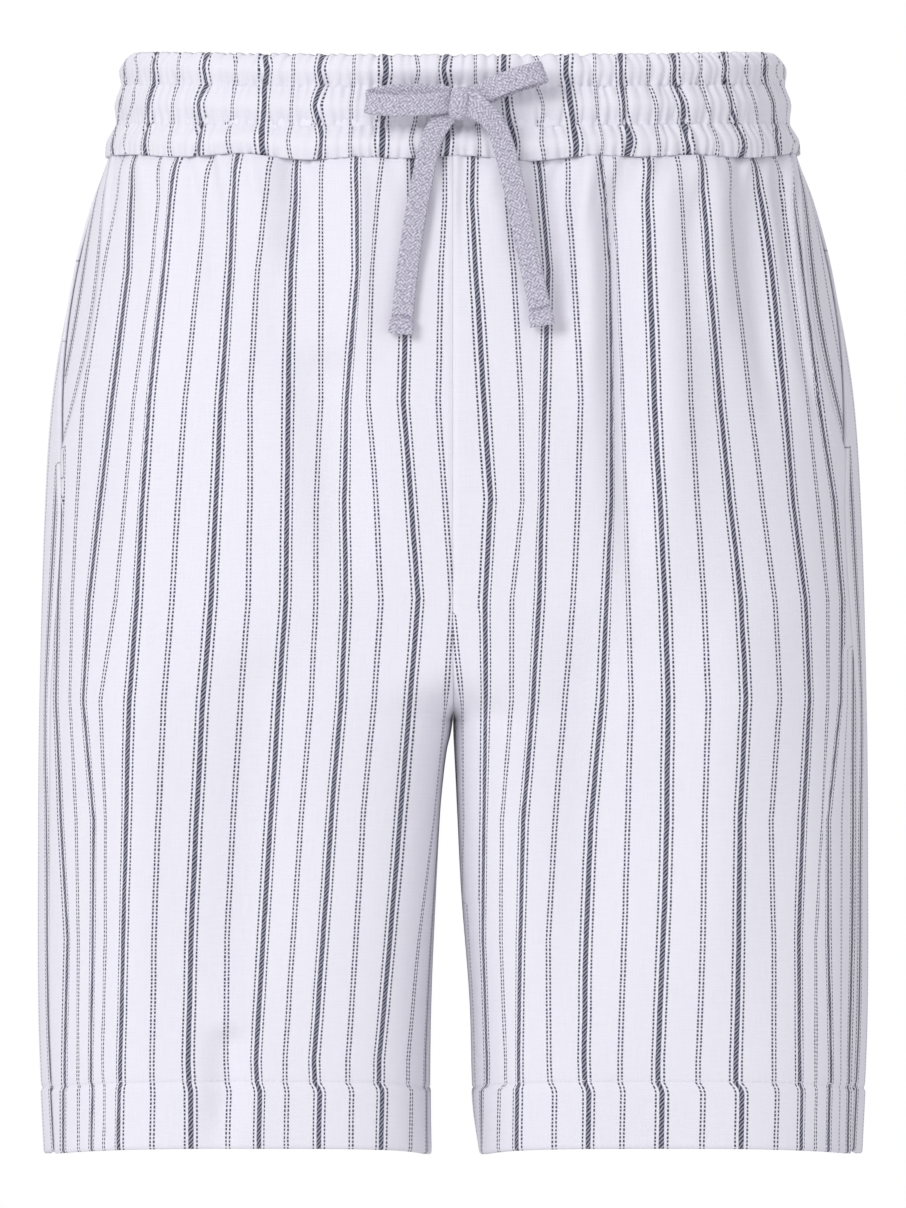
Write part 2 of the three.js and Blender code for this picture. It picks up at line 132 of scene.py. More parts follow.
def wallPiece(name, outer, inner, cloth, material):
    # a closed wall between two grids; cloth holds each point's place on the flat cloth
    rows, columns = outer.shape[:2]
    ids = np.arange(rows * columns).reshape(rows, columns)
    far = ids + rows * columns
    rims = [
        np.stack([ids[:, 0], far[:, 0]]), np.stack([far[:, -1], ids[:, -1]]),
        np.stack([far[0], ids[0]]), np.stack([ids[-1], far[-1]]),
    ]
    faces = np.concatenate([gridFaces(ids), gridFaces(far)[:, ::-1]] + [gridFaces(rim) for rim in rims])
    points = np.concatenate([outer.reshape(-1, 3), inner.reshape(-1, 3)])
    places = np.concatenate([cloth.reshape(-1, 2)] * 2)
    return meshPiece(name, points, faces, places[faces], material)


def addNode(tree, kind, settings, inputs):    # each input is given a value, or is linked to a socket
    made = tree.nodes.new(kind)
    for key, value in settings.items():
        setattr(made, key, value)
    for key, value in inputs.items():
        if isinstance(value, bpy.types.NodeSocket):
            tree.links.new(value, made.inputs[key])
        else:
            made.inputs[key].default_value = value
    return made


# Shader sums: a wire is a socket that takes part in Python arithmetic

class Wire:
    def __init__(self, paint, socket):
        self.paint = paint
        self.socket = socket

    def math(self, operation, other=None, turned=False):
        values = [self] if other is None else ([other, self] if turned else [self, other])
        return self.paint.node("ShaderNodeMath", {"operation": operation}, dict(enumerate(values)))

    def __add__(self, other):
        return self.math("ADD", other)

    def __sub__(self, other):
        return self.math("SUBTRACT", other)

    def __rsub__(self, other):
        return self.math("SUBTRACT", other, True)

    def __mul__(self, other):
        return self.math("MULTIPLY", other)

    def __truediv__(self, other):
        return self.math("DIVIDE", other)

    __radd__ = __add__
    __rmul__ = __mul__

    def __abs__(self):
        return self.math("ABSOLUTE")

    def most(self, other):
        return self.math("MAXIMUM", other)

    def clamped(self):
        return self.paint.node("ShaderNodeClamp", {}, {"Value": self})

    def offCentre(self, period, shift=0.5):    # distance to the nearest whole period, at shift 0.5
        return abs((self / period + shift).math("FRACT") - 0.5) * period

    def within(self, half, soft):              # 1 inside half, 0 outside, over a soft edge
        return ((half + soft / 2 - self) / soft).clamped()


class Paint:
    def __init__(self, name):
        self.material = bpy.data.materials.new(name)
        self.material.use_nodes = True
        self.tree = self.material.node_tree
        self.tree.nodes.clear()

    def node(self, kind, settings, inputs, output=0):
        inputs = {key: value.socket if isinstance(value, Wire) else value for key, value in inputs.items()}
        made = addNode(self.tree, kind, settings, inputs)
        return Wire(self, made.outputs[output]) if len(made.outputs) else None

    def clothPlace(self):                      # across and along the flat cloth, in millimetres
        place = self.node("ShaderNodeUVMap", {"uv_map": "cloth"}, {})
        split = self.node("ShaderNodeSeparateXYZ", {}, {0: place})
        down = Wire(self, split.socket.node.outputs[1])
        return split * 1000, down * 1000

    def noise(self, across, down, detail=2):
        spot = self.node("ShaderNodeCombineXYZ", {}, {0: across, 1: down})
        return self.node("ShaderNodeTexNoise", {}, {"Vector": spot, "Scale": 1.0, "Detail": detail})

    def mix(self, factor, first, second):
        inputs = {0: factor, 6: first, 7: second}
        return self.node("ShaderNodeMix", {"data_type": "RGBA"}, inputs, 2)

    def finish(self, colour, height, bump, surface):
        bumped = self.node("ShaderNodeBump", {}, {"Height": height, "Strength": bump["strength"],
                                                  "Distance": bump["depth"] * mm})
        inputs = {"Base Color": colour, "Normal": bumped, **surface}
        shader = self.node("ShaderNodeBsdfPrincipled", {}, inputs)
        self.node("ShaderNodeOutputMaterial", {}, {"Surface": shader})
        return self.material


linenLook = {
    "ground": (0.82, 0.81, 0.865, 1), "shade": (0.76, 0.745, 0.82, 1), "ink": (0.042, 0.044, 0.088, 1),
    "repeat": 36.5,          # from one wide stripe to the next
    "ease": 0.9,             # cloth beside a stripe for each length that shows
    "band": 1.15,            # half the solid band at the wide stripe's middle
    "rope": 2.1,             # length of one twist of the band's threads
    "ropeLean": 1.2,         # slant of the twists
    "ropeInk": 0.5,          # ink left between two twists
    "pinPlace": 2.7, "pin": 0.43,      # from the band's middle to each pin stripe, and half its width
    "pairPlace": 0.82, "pair": 0.41,   # the same for the pair between two wide stripes
    "dot": 1.8,              # length of one dot and its gap along a pin stripe
    "dotHalf": 0.56,         # half the dot
    "dotInk": 0.16,          # ink left between two dots
    "thread": 0.5,           # from one thread of the weave to the next
}


def linenMaterial():
    look = linenLook
    paint = Paint("linen")
    across, down = paint.clothPlace()
    wander = paint.noise(across * 0.03, down * 0.02) - 0.5
    place = across + wander * 0.9 + (paint.noise(across * 0.9, down * 0.35) - 0.5) * 0.35
    wide = place.offCentre(look["repeat"])
    pair = place.offCentre(look["repeat"], 0)
    beat = down + (paint.noise(across * 0.3, down * 0.25) - 0.5) * 1.6
    rope = ((beat + place * look["ropeLean"]) / look["rope"]).math("FRACT")
    twist = (abs(rope - 0.5) * 2).within(0.7, 0.3)
    band = wide.within(look["band"], 0.3) * (look["ropeInk"] + (1 - look["ropeInk"]) * twist)
    dots = beat.offCentre(look["dot"]).within(look["dotHalf"], 0.24) * (1 - look["dotInk"]) + look["dotInk"]
    pins = abs(wide - look["pinPlace"]).within(look["pin"], 0.2) * dots
    pairs = abs(pair - look["pairPlace"]).within(look["pair"], 0.2) * dots
    worn = 0.98 + 0.35 * (paint.noise(across * 0.8, down * 0.6, 3) - 0.5)
    ink = (band.most(pins).most(pairs) * worn).clamped()
    weft = paint.noise(across * 0.09, down * 2.2, 3)
    warp = paint.noise(across * 2.2, down * 0.07, 3)
    slub = ((weft + warp - 0.86) * 1.5).clamped()
    ground = paint.mix(slub, look["ground"], look["shade"])
    turn = 2 * math.pi / look["thread"]
    weave = (across * turn).math("SINE") * (down * turn).math("SINE")
    height = weave * 0.3 + slub * 0.9 + ink * 0.5
    surface = {"Roughness": 0.88, "Sheen Weight": 0.12, "Sheen Roughness": 0.5, "Specular IOR Level": 0.25}
    colour = paint.mix(ink, ground, look["ink"])
    return paint.finish(colour, height, {"strength": 0.3, "depth": 0.12}, surface)


tapeLook = {
    "light": (0.76, 0.74, 0.825, 1), "dark": (0.28, 0.262, 0.35, 1),
    "warp": 0.8,             # from one lengthwise thread to the next
    "patch": 1.67,           # from one light patch of threads to the next
    "flecks": 1.9,           # how strongly the yarn's flecks show
}


def tapeMaterial():
    paint = Paint("tape")
    across, down = paint.clothPlace()
    rib = across.offCentre(tapeSize["rib"])
    slant = (down + rib * tapeSize["slant"]) / tapeSize["thread"]
    threads = (slant * (2 * math.pi)).math("SINE") * 0.5 + 0.5
    warp = (across * (2 * math.pi / tapeLook["warp"])).math("SINE") * 0.5 + 0.5
    fleck = paint.noise(across * 0.85, down * 0.75, 3)
    broken = (across * (2 * math.pi / tapeLook["patch"]) + down * 1.9).math("SINE") * 0.5 + 0.5
    shade = (threads * (0.2 + broken * 0.45) + (fleck - 0.5) * tapeLook["flecks"] + 0.24).clamped()
    colour = paint.mix(shade, tapeLook["dark"], tapeLook["light"])
    surface = {"Roughness": 0.92, "Sheen Weight": 0.2, "Sheen Roughness": 0.5, "Specular IOR Level": 0.2}
    return paint.finish(colour, threads + warp * 0.5, {"strength": 0.5, "depth": 0.15}, surface)


def threadMaterial():
    paint = Paint("thread")
    place = paint.node("ShaderNodeTexCoord", {}, {}, 3)
    grain = paint.node("ShaderNodeTexNoise", {}, {"Vector": place, "Scale": 900.0})
    colour = paint.mix(grain, (0.78, 0.77, 0.83, 1), (0.9, 0.89, 0.93, 1))
    return paint.finish(colour, grain, {"strength": 0.3, "depth": 0.05}, {"Roughness": 0.7})


# The panels' form, as in the solids
waistSeam, pocketEnd, crotch, hemLine, hemEdge = -24.1, -165, -290, -464, -495    # heights
clothWall, hemWall, seamGap, facingGap = 1.4, 2.4, 0.04, 0.5
frontDip, backRise, hemLift = 5, 3, 6.5    # the waist's dip and rise and the hem's rise, at their middles
pocketMouthAngle, pocketBow, gapAngle = 0.36, 0.15, 0.0004
facingHidden = 0.07    # how far the pocket facing runs on behind the mouth, as an angle
forkStart, outerFork, innerFork = -140, 1.6, 7    # where the legs begin to part, how late each half follows
sections = tableOf(
    "z half front back middle square seam",
    (-24.1, 164.5, 109.5, 117, 0, 2.25, -0.15), (-45, 171.5, 111.5, 124, 0, 2.3, -0.07),
    (-92, 182, 114.5, 130, 0, 2.4, 0.1), (-139, 189.5, 115.5, 131, -1, 2.5, 0.25),
    (-196, 193, 114, 126, -4, 2.6, 0.37), (-290, 195.2, 107, 108, -9, 2.7, 0.43),
    (-340, 195.6, 101, 92, -12, 2.7, 0.44), (-430, 195.4, 98, 79, -14, 2.7, 0.44),
    (-495, 192.6, 97, 75, -14, 2.7, 0.44),
)
innerEdges = tableOf(
    "z left right squareleft squareright",
    (-290, 0.02, 0.02, 4.8, 5.2), (-297, 0.15, 1.1, 4.8, 5.2), (-304, 0.5, 2.8, 4.7, 5.2),
    (-320, 1.3, 4.8, 4.6, 5.1), (-335, 2, 6.1, 4.5, 5), (-371, 3.8, 8, 4.3, 4.7),
    (-423, 7.8, 10.2, 4, 4.4), (-470, 9.4, 10.8, 3.8, 4.2), (-495, 12.8, 10.4, 3.8, 4.2),
)

# Folds: from (x1, z1) to (x2, z2) seen from the front, how far they stand out or in, half their width
folds = {
    "front_left": [
        (47, -26, 51, -112, -4.5, 8), (62, -26, 64, -150, 3, 9), (75, -40, 84, -225, -6, 9),
        (98, -26, 104, -190, 3, 11), (119, -24, 124, -110, 3.5, 9), (136, -26, 150, -150, -3.5, 8),
        (66, -250, 58, -440, -3.5, 20), (130, -240, 118, -430, 3, 22), (154, -28, 171, -143, -4, 4.5),
    ],
    "front_right": [
        (-74, -25, -74, -80, -4.5, 7), (-92, -25, -96, -130, 3, 11), (-118, -25, -124, -110, -3, 9),
        (-46, -26, -44, -120, 2.5, 9), (-62, -120, -50, -225, -4, 15), (-88, -260, -98, -430, -3, 20),
        (-146, -150, -150, -470, 3, 14), (-104, -440, -108, -495, -3.5, 9),
    ],
    "back_left": [
        (38, -26, 42, -100, -4, 9), (84, -26, 92, -150, -4.5, 10), (120, -26, 130, -110, 3, 10),
        (46, -200, 92, -290, -4, 20), (90, -300, 82, -460, 3.5, 20),
    ],
    "back_right": [
        (-44, -26, -48, -120, -4, 9), (-78, -26, -80, -90, 3, 9), (-106, -26, -116, -140, -4.5, 10),
        (-44, -205, -96, -285, -4, 20), (-110, -300, -100, -460, 3.5, 20),
    ],
}
foldStrength = 1.35    # how much more the folds stand out than their table says
clothGrid = {"columns": 88, "innerColumns": 40, "innerStretch": 26, "rowStep": 2.4, "dense": 1400}
gathers = {
    "spacing": 9, "depth": 2.7, "narrowest": 2.2, "widest": 4.8, "shortest": 16, "longest": 70, "seed": 7,
    "roll": 1.2,             # how far the cloth rolls out just under the waist seam
}
seams = {
    "depth": 4.5, "width": 1.6,        # the turned allowance inside the inner seams
    "hemGroove": 0.6, "hemStep": 0.35, "hemRound": 0.8, "edgeRound": 0.7,
    "lapOver": 0.35, "lapUnder": 0.1, "lapWidth": 9,    # the left front laps the right one at the rise
}


def halfSection(z, side):
    level = min(z, crotch)
    half = tableValue(sections, "half", z)
    edge = tableValue(innerEdges, side, level)
    legCentre = (half + edge) / 2
    parted = float(smooth((forkStart - z) / (forkStart - crotch)))
    outerCentre = max(seamGap / 2, legCentre * parted**outerFork)
    innerCentre = max(seamGap / 2, legCentre * parted**innerFork)
    section = {name: tableValue(sections, name, z) for name in ("middle", "front", "back", "seam")}
    section["outer"] = {"centre": outerCentre, "width": half - outerCentre,
                        "square": tableValue(sections, "square", z)}
    section["inner"] = {"centre": innerCentre, "width": legCentre - edge,
                        "square": tableValue(innerEdges, "square" + side, level)}
    return section


def innerAngle(section):
    inner = section["inner"]
    meets = math.acos(-(min(1, (inner["centre"] - seamGap / 2) / inner["width"]) ** (inner["square"] / 2)))
    return min(meets, math.pi - (seamGap / 2 / section["front"]) ** (inner["square"] / 2))


def pocketAngle(z, section):
    share = max(0, (z - pocketEnd) / (waistSeam - pocketEnd))
    return section["seam"] + pocketMouthAngle * share + pocketBow * 4 * share * (1 - share)


def clothRow(section, start, end, columns, lastColumns=0):
    # points of a section between two angles, spaced along the cloth, with the outward normals
    angles = np.linspace(start, end, clothGrid["dense"])
    facesFront = np.sin(angles) > 0
    reach = np.where(facesFront, section["middle"] + section["front"], section["back"] - section["middle"])
    outward = np.cos(angles) > 1e-9
    outer, inner = section["outer"], section["inner"]
    centre, width, exponent = (
        np.where(outward, outer[key], inner[key]) for key in ("centre", "width", "square"))
    x = centre + width * power(np.cos(angles), 2 / exponent)
    y = section["middle"] - reach * power(np.sin(angles), 2 / exponent)
    lengths = np.concatenate([[0], np.cumsum(np.hypot(np.diff(x), np.diff(y)))])
    places = np.linspace(0, lengths[-1], columns + 1)
    if lastColumns:
        bend = np.argmax(x < clothGrid["innerStretch"])
        share = (x[bend - 1] - clothGrid["innerStretch"]) / (x[bend - 1] - x[bend])
        first = lengths[bend - 1] + share * (lengths[bend] - lengths[bend - 1])
        places = np.concatenate([np.linspace(0, first, columns + 1),
                                 np.linspace(first, lengths[-1], lastColumns + 1)[1:]])
    x, y = np.interp(places, lengths, x), np.interp(places, lengths, y)
    dx, dy = np.gradient(x, places), np.gradient(y, places)
    turn = np.sign(end - start) / np.hypot(dx, dy)
    outermost = np.interp(0, angles * np.sign(end - start), lengths)
    return {"x": x, "y": y, "nx": -dy * turn, "ny": dx * turn, "along": places, "outermost": [outermost]}


def columnsOf(rows, *keys):    # an array of each column, from one dictionary for each row
    return [np.array([row[key] for row in rows]) for key in keys]


def seamWave(x, z):
    wave = 0.7 * np.sin(x / 8.5 + 0.6) + 0.7 * np.sin(x / 15 + 2.2)
    return wave * np.exp(-(((z - waistSeam) / 12) ** 2))


def lift(z, facing):
    waistFade = smooth((z + 200) / (200 + waistSeam))
    hemFade = smooth((crotch - z) / (crotch - hemEdge))
    front = np.where(facing < 0, facing**2, 0)
    back = np.where(facing > 0, facing**2, 0)
    return waistFade * (back * backRise - front * frontDip) + hemFade * front * hemLift


def gatherRelief(place, drop, width, seed):    # small uneven puckers below the waist seam
    rng = np.random.default_rng(gathers["seed"] + seed)
    out = np.zeros_like(place)
    at = rng.uniform(2, 6)
    while at < width - 2:
        deep = gathers["depth"] * rng.uniform(0.35, 1.3)
        reach = rng.uniform(gathers["shortest"], gathers["longest"]) * rng.uniform(0.5, 1)
        spread = rng.uniform(gathers["narrowest"], gathers["widest"]) * (1 + drop / reach)
        out -= deep * np.exp(-((place - at) / spread) ** 2) * np.exp(-((drop / reach) ** 1.6))
        at += gathers["spacing"] * rng.uniform(0.5, 1.5)
    return out + gathers["roll"] * (np.exp(-(((drop - 8) / 8) ** 2)) - np.exp(-((drop / 2.2) ** 2)))


def foldRelief(panel, x, z):
    out = np.zeros_like(x)
    for x1, z1, x2, z2, depth, width in folds[panel]:
        t = (z - z1) / (z2 - z1)
        fade = smooth((t + 0.1) / 0.2) * smooth((1.15 - t) / 0.5)
        out += foldStrength * depth * fade * np.exp(-(((x - x1 - (x2 - x1) * t) / width) ** 2))
    return out


# Stripes of the fronts, read one by one: the pixel column of each stripe line at these pixel rows.
# Whole numbers are wide stripes and halves the pairs between them, counted from the image's left.
stripeRows = (160, 200, 270, 400, 500, 600, 700, 820, 940, 1060, 1083, 1090, 1140)
stripeLines = {
    "front_right": {
        1: (108, 101, 88, 64, 62, 58, 56, 61, 68, 65, 65, 64, 64),
        1.5: (120, 114, 103, 83, 77, 72, 70, 76, 78, 78, 78, 79, 79),
        2: (132, 129, 128, 112, 100, 89, 83, 94, 93, 91, 91, 93, 92),
        2.5: (158, 157, 152, 134, 125, 116, 100, 105, 105, 102, 103, 105, 104),
        3: (176, 169, 163, 149, 142, 137, 129, 126, 123, 120, 120, 119, 118),
        3.5: (209, 204, 198, 185, 178, 172, 164, 158, 154, 152, 152, 153, 152),
        4: (236, 232, 230, 221, 216, 211, 203, 196, 191, 188, 189, 191, 191),
        4.5: (270, 265, 257, 250, 250, 248, 241, 233, 227, 226, 227, 229, 228),
        5: (296, 295, 291, 288, 287, 286, 279, 271, 263, 256, 257, 260, 259),
        5.5: (321, 320, 321, 321, 316, 316, 311, 301, 293, 285, 285, 287, 286),
        6: (356, 357, 358, 347, 344, 346, 341, 331, 323, 314, 315, 320, 319),
        6.5: (382, 377, 371, 368, 376, 381, 374, 363, 356, 348, 348, 352, 351),
        7: (412, 413, 407, 403, 411, 418, 410, 400, 390, 379, 379, 382, 381),
        7.5: (445, 445, 441, 438, 445, 452, 446, 434, 419, 408, 408, 411, 410),
    },
    "front_left": {
        7.5: (434, 434, 438, 446, 447, 452, 462, 463.5, 461, 453, 453, 452, 452),
        8: (473, 472, 476, 484, 491, 485, 486, 484, 483, 487, 487, 482, 482),
        8.5: (506, 507, 514, 521, 523, 512, 512, 502, 501, 506, 506, 500, 499),
        9: (539, 543, 549, 544, 542, 539, 533, 523, 520, 518, 518, 517, 517),
        9.5: (569, 569, 574, 581, 578, 573, 565, 555, 548, 549, 550, 555, 554),
        10: (601, 606, 611, 612, 612, 607, 602, 591, 586, 584, 585, 589, 588),
        10.5: (614, 613, 617, 622, 625, 628, 631, 628, 624, 620, 620, 623, 622),
        11: (650, 649, 650, 654, 660, 665, 668, 667, 663, 658, 658, 662, 661),
        11.5: (679, 683, 687, 691, 697, 704, 708, 705, 703, 698, 698, 703, 702),
        12: (702, 706, 709, 720, 730, 741, 746, 740, 739, 736, 736, 742, 741),
        12.5: (730, 731, 736, 750, 762, 775, 780, 771, 774, 774, 774, 777, 776),
        13: (757, 765, 773, 785, 793, 806, 810, 803, 799, 800, 800, 802, 801),
        13.5: (777, 785, 792, 808, 818, 828, 828, 823, 816, 816, 816, 816, 815),
        14: (793, 797, 803, 818, 834, 842, 841, 827, 828, 831, 831, 829, 828),
        15: (812, 821, 832, 847, 852, 853, 853, 853, 852, 849, 849, 848, 847),
    },
}
backCloth = {
    "waistGather": 0.8,                        # the panels' width at the waist for each width of cloth
    "lines": 12, "first": 0.6, "beyond": 0.8,  # stripe lines of a back, and the shares beside them
    "depth": 100,                              # how far behind the origin they are set out
    "inside": {"left": -1.5, "right": -3.5},   # from the outermost line to the wide stripe beside it
    "facing": {"left": 4.5, "right": 19},      # from the pocket's mouth to the facing's wide stripe
    "plainBelow": 30, "plainFade": 25,         # how far below the pocket the cut edges stay plain
}


def gatherSpread(z):     # how much narrower than the flat cloth the panel is at a height
    return 1 - (1 - backCloth["waistGather"]) * smooth((z + 120) / 95)


def stripePlaces(lines, lineRows, points, along, visible, slopes, known=()):
    # across the cloth at each point: every stripe line lies at its pixel column, and beside it the cloth
    # keeps its own width, so what the folds hide is taken up between the stripes
    columns, rows = pixelOf(points)
    across = np.zeros_like(along)
    for r, slope in enumerate(slopes):
        knots = [(place[r], count) for place, count in known]
        for number, line in lines.items():
            gap = np.where(visible[r], columns[r] - np.interp(rows[r], lineRows, line), np.nan)
            crossed = np.where(gap[:-1] * gap[1:] <= 0)[0]
            if len(crossed):
                i = crossed[0]
                share = gap[i] / (gap[i] - gap[i + 1] + 1e-12)
                place = along[r, i] + share * (along[r, i + 1] - along[r, i])
                knots.append((place, number * linenLook["repeat"]))
        at, count = np.array(sorted(knots)).T
        i = np.clip(np.searchsorted(at, along[r]) - 1, 0, len(at) - 2)
        wide = at[i + 1] - at[i]
        t = np.clip((along[r] - at[i]) / wide, 0, 1)
        across[r] = curveBetween(count[i], wide * slope, count[i + 1], wide * slope, t)
        across[r] += (np.minimum(along[r] - at[0], 0) + np.maximum(along[r] - at[-1], 0)) * slope
    return across


def plainEdge(across, z):    # no stripe on the cut edges beside the pocket
    half = linenLook["repeat"] / 2
    plain = (np.floor(across[:, 1:2] / half) + 0.5) * half
    fade = smooth((z - pocketEnd + backCloth["plainBelow"]) / backCloth["plainFade"])
    across[:, :2] += (plain - across[:, :2]) * fade[:, None]
    return across


def frontPlaces(panel, points, along):
    slopes = (-1 if panel == "front_left" else 1) * linenLook["ease"] / gatherSpread(points[:, 0, 2])
    across = stripePlaces(stripeLines[panel], stripeRows, points, along, np.ones(along.shape, bool), slopes)
    return plainEdge(across, points[:, 0, 2])


def panelLevels():
    steps = int(round((waistSeam - seamGap - hemEdge) / clothGrid["rowStep"]))
    levels = np.linspace(waistSeam - seamGap, hemEdge, steps + 1)
    extra = [waistSeam - d for d in (0.9, 1.6)] + [hemLine + d for d in (1.2, 0.5, -0.5, -1.2)]
    extra += [hemEdge + 0.8] + [crotch + d for d in (8, 6, 4.5, 3, 2, 1.2, 0.5)]
    return np.sort(np.unique(np.round(np.concatenate([levels, extra]), 2)))[::-1]


def panelGrids(face, side):
    # the panel's outer and inner points, and each point's place on the flat cloth
    panel = f"{face}_{side}"
    mirror = 1 if side == "left" else -1
    rows = []
    for z in panelLevels():
        section = halfSection(z, side)
        start = pocketAngle(z, section) + gapAngle if face == "front" else section["seam"] - gapAngle
        end = innerAngle(section) * (1 if face == "front" else -1)
        rows.append(clothRow(section, start, end, clothGrid["columns"], clothGrid["innerColumns"]))
        rows[-1].update(reach=[section[face]], z=[z])
    x, y, nx, ny, along, outermost, reach, z = columnsOf(
        rows, "x", "y", "nx", "ny", "along", "outermost", "reach", "z")
    z = np.broadcast_to(z, x.shape)
    total = along[:, -1:]
    fromEdge = np.minimum(along, total - along)
    seed = list(folds).index(panel)
    fold = foldRelief(panel, x * mirror, z) * smooth((fromEdge - 8) / 8)
    out = fold + gatherRelief(along, waistSeam - z, total[0, 0], seed) * smooth(fromEdge / 5)
    out -= seams["hemGroove"] * np.exp(-(((z - hemLine) / 1.1) ** 2))
    out += seams["hemStep"] * smooth((hemLine - z) / 2) - seams["hemRound"] * smooth(hemEdge + 1 - z)
    edge = -seams["edgeRound"] * np.exp(-((fromEdge / 1.3) ** 2))
    if face == "front":
        lap = np.exp(-(((total - along) / seams["lapWidth"]) ** 4)) * smooth((z + 215) / 40)
        edge += (seams["lapOver"] if side == "left" else -seams["lapUnder"]) * lap
    wall = np.where(z < hemLine, hemWall, clothWall)
    level = z + lift(z, np.clip(y / reach, -1, 1)) + seamWave(x * mirror, z)
    outer = np.stack([(x + nx * out) * mirror, y + ny * (out + edge), level], axis=-1)
    inner = np.stack([(x + nx * (out - wall)) * mirror, y + ny * (out + edge - wall), level], axis=-1)
    allowance = np.exp(-(((total - along) / seams["width"]) ** 2)) * smooth((z - crotch) / 6)
    turned = outer + np.array([0, seams["depth"] * (1 if face == "front" else -1), 0])
    inner += (turned - inner) * allowance[..., None]
    smoothForm = np.stack([(x + nx * fold) * mirror, y + ny * fold, level], axis=-1)
    if face == "front":
        across = frontPlaces(panel, smoothForm, along)
    else:
        across = backPlaces(side, x, along, outermost, z)
    return outer, inner, np.stack([across, -z], axis=-1)


def backPlaces(side, x, along, outermost, z):
    # stripes at even shares of the width, and a wide one just short of the outermost line
    levels = z[:, 0]
    half = np.array([tableValue(sections, "half", level) for level in levels])
    depth = np.full(len(levels), backCloth["depth"])
    rows = pixelOf(np.stack([x[:, 0], depth, levels], axis=-1))[1]
    lines = {}
    for n in range(backCloth["lines"]):
        share = (n + backCloth["first"]) / (backCloth["lines"] + backCloth["beyond"])
        lines[n / 2] = pixelOf(np.stack([half * share, depth, levels], axis=-1))[0]
    last = (outermost[:, 0] + backCloth["inside"][side], (backCloth["lines"] // 2 + 1) * linenLook["repeat"])
    points = np.stack([x, np.full(x.shape, backCloth["depth"]), z], axis=-1)
    slopes = -linenLook["ease"] / gatherSpread(levels)
    across = stripePlaces(lines, rows, points, along, along > outermost, slopes, [last])
    return plainEdge(across, levels)


def facingGrids(side):
    mirror = 1 if side == "left" else -1
    rows = []
    levels = [z for z in panelLevels() if z > pocketEnd - 4]
    for z in levels:
        section = halfSection(z, side)
        rows.append(clothRow(section, section["seam"] + gapAngle, pocketAngle(z, section) + facingHidden, 30))
        rows[-1]["reach"] = [section["front"]]
    x, y, nx, ny, along, reach = columnsOf(rows, "x", "y", "nx", "ny", "along", "reach")
    z = np.array([[level] * x.shape[1] for level in levels])
    sunk = clothWall + facingGap
    level = z + lift(z, y / reach)
    outer = np.stack([(x - nx * sunk) * mirror, y - ny * sunk, level], axis=-1)
    inner = np.stack([(x - nx * (sunk + clothWall)) * mirror, y - ny * (sunk + clothWall), level], axis=-1)
    mouth = along[:, -1:] - facingHidden * 180    # the cloth bends at about 180 mm from its centre here
    across = mouth - along - backCloth["facing"][side]
    return outer, inner, np.stack([plainEdge(across, z[:, 0]), -z], axis=-1)


# The waistband: three puffed tiers with many fine puckers, drawn in at each row of stitching
waistTop = 24.1
casingRows = tableOf(
    "z half front back",
    (-24.1, 164.5, 109.5, 117), (-17, 163.2, 110.5, 118), (-8.8, 159.4, 106.6, 114.4),
    (0.5, 159.4, 108.4, 116), (9.5, 157, 105.6, 113.4), (17.5, 157, 107, 114.6), (24.1, 152.5, 103.4, 111),
)
casing = {
    "wall": 2.6, "columns": 1280, "square": 2.25, "seed": 21,
    "sewn": (-24.1, -8.8, 9.5, 24.1),    # heights of the waist seam, two rows of stitching and the top fold
    "rowsInTier": (17, 20, 16),
    "pucker": 2.3, "spacing": 4.3, "narrowest": 1.0, "widest": 1.7, "lean": 2,
    "puff": 1.3, "sides": 0.6,           # how far each tier stands out, and how much flatter the sides are
    "sway": 0.8, "gather": 1.12,         # how far the stripes sway, and the cloth for each length that shows
    "topRound": 1.2, "crown": 2.8, "scallop": 0.4,
    "innerDrop": 1.2, "innerRows": 5,    # the plain inside, which ends a little below the top fold
    "backFade": 30,                      # how far behind the sides every row takes the middle row's stripes
}
bandRows = (75, 105, 146)
bandLines = {
    0: (126, 121, 112), 1: (155, 150, 145), 2: (207, 202, 198), 3: (265, 263, 262), 4: (323, 320, 319),
    5: (385, 383, 382), 6: (447, 446, 446), 7: (504, 508, 513), 8: (567, 571, 576), 9: (621, 624, 627),
    10: (674, 681, 690), 11: (724, 732, 742), 12: (764, 772, 779), 13: (783, 791, 799),
}


def puckerField(levels, around, girth):
    # how far the cloth stands out and slides sideways; a tier's puckers are deepest where it is sewn
    out = np.zeros((len(levels), len(around)))
    slide = np.zeros_like(out)
    rng = np.random.default_rng(casing["seed"])
    for low, high in zip(casing["sewn"], casing["sewn"][1:]):
        inside = (levels >= low) & (levels <= high)
        t = ((levels[inside] - low) / (high - low))[:, None]
        pinch = 0.3 + 0.7 * np.abs(2 * t - 1) ** 1.4
        relief = np.zeros((len(t), len(around)))
        at = rng.uniform(0, 3)
        while at < girth - 1:
            deep = casing["pucker"] * rng.uniform(0.35, 1.2)
            lean = casing["lean"] * rng.uniform(-1, 1)
            half = rng.uniform(casing["narrowest"], casing["widest"])
            gap = (around[None, :] - at - lean * (t - 0.5) + girth / 2) % girth - girth / 2
            relief -= deep * pinch * np.exp(-((gap / (half * (1.25 - 0.3 * pinch))) ** 2))
            at += casing["spacing"] * rng.uniform(0.55, 1.5)
        out[inside] = relief + casing["puff"] * np.sin(math.pi * t) ** 0.8
        phase = rng.uniform(0, 2 * math.pi, 3)
        sway = sum(np.sin(around / girth * 2 * math.pi * n + phase[i]) for i, n in enumerate((13, 29, 47)))
        slide[inside] = casing["sway"] * sway[None, :] * (1 - np.abs(2 * t - 1) ** 1.5)
    return out, slide


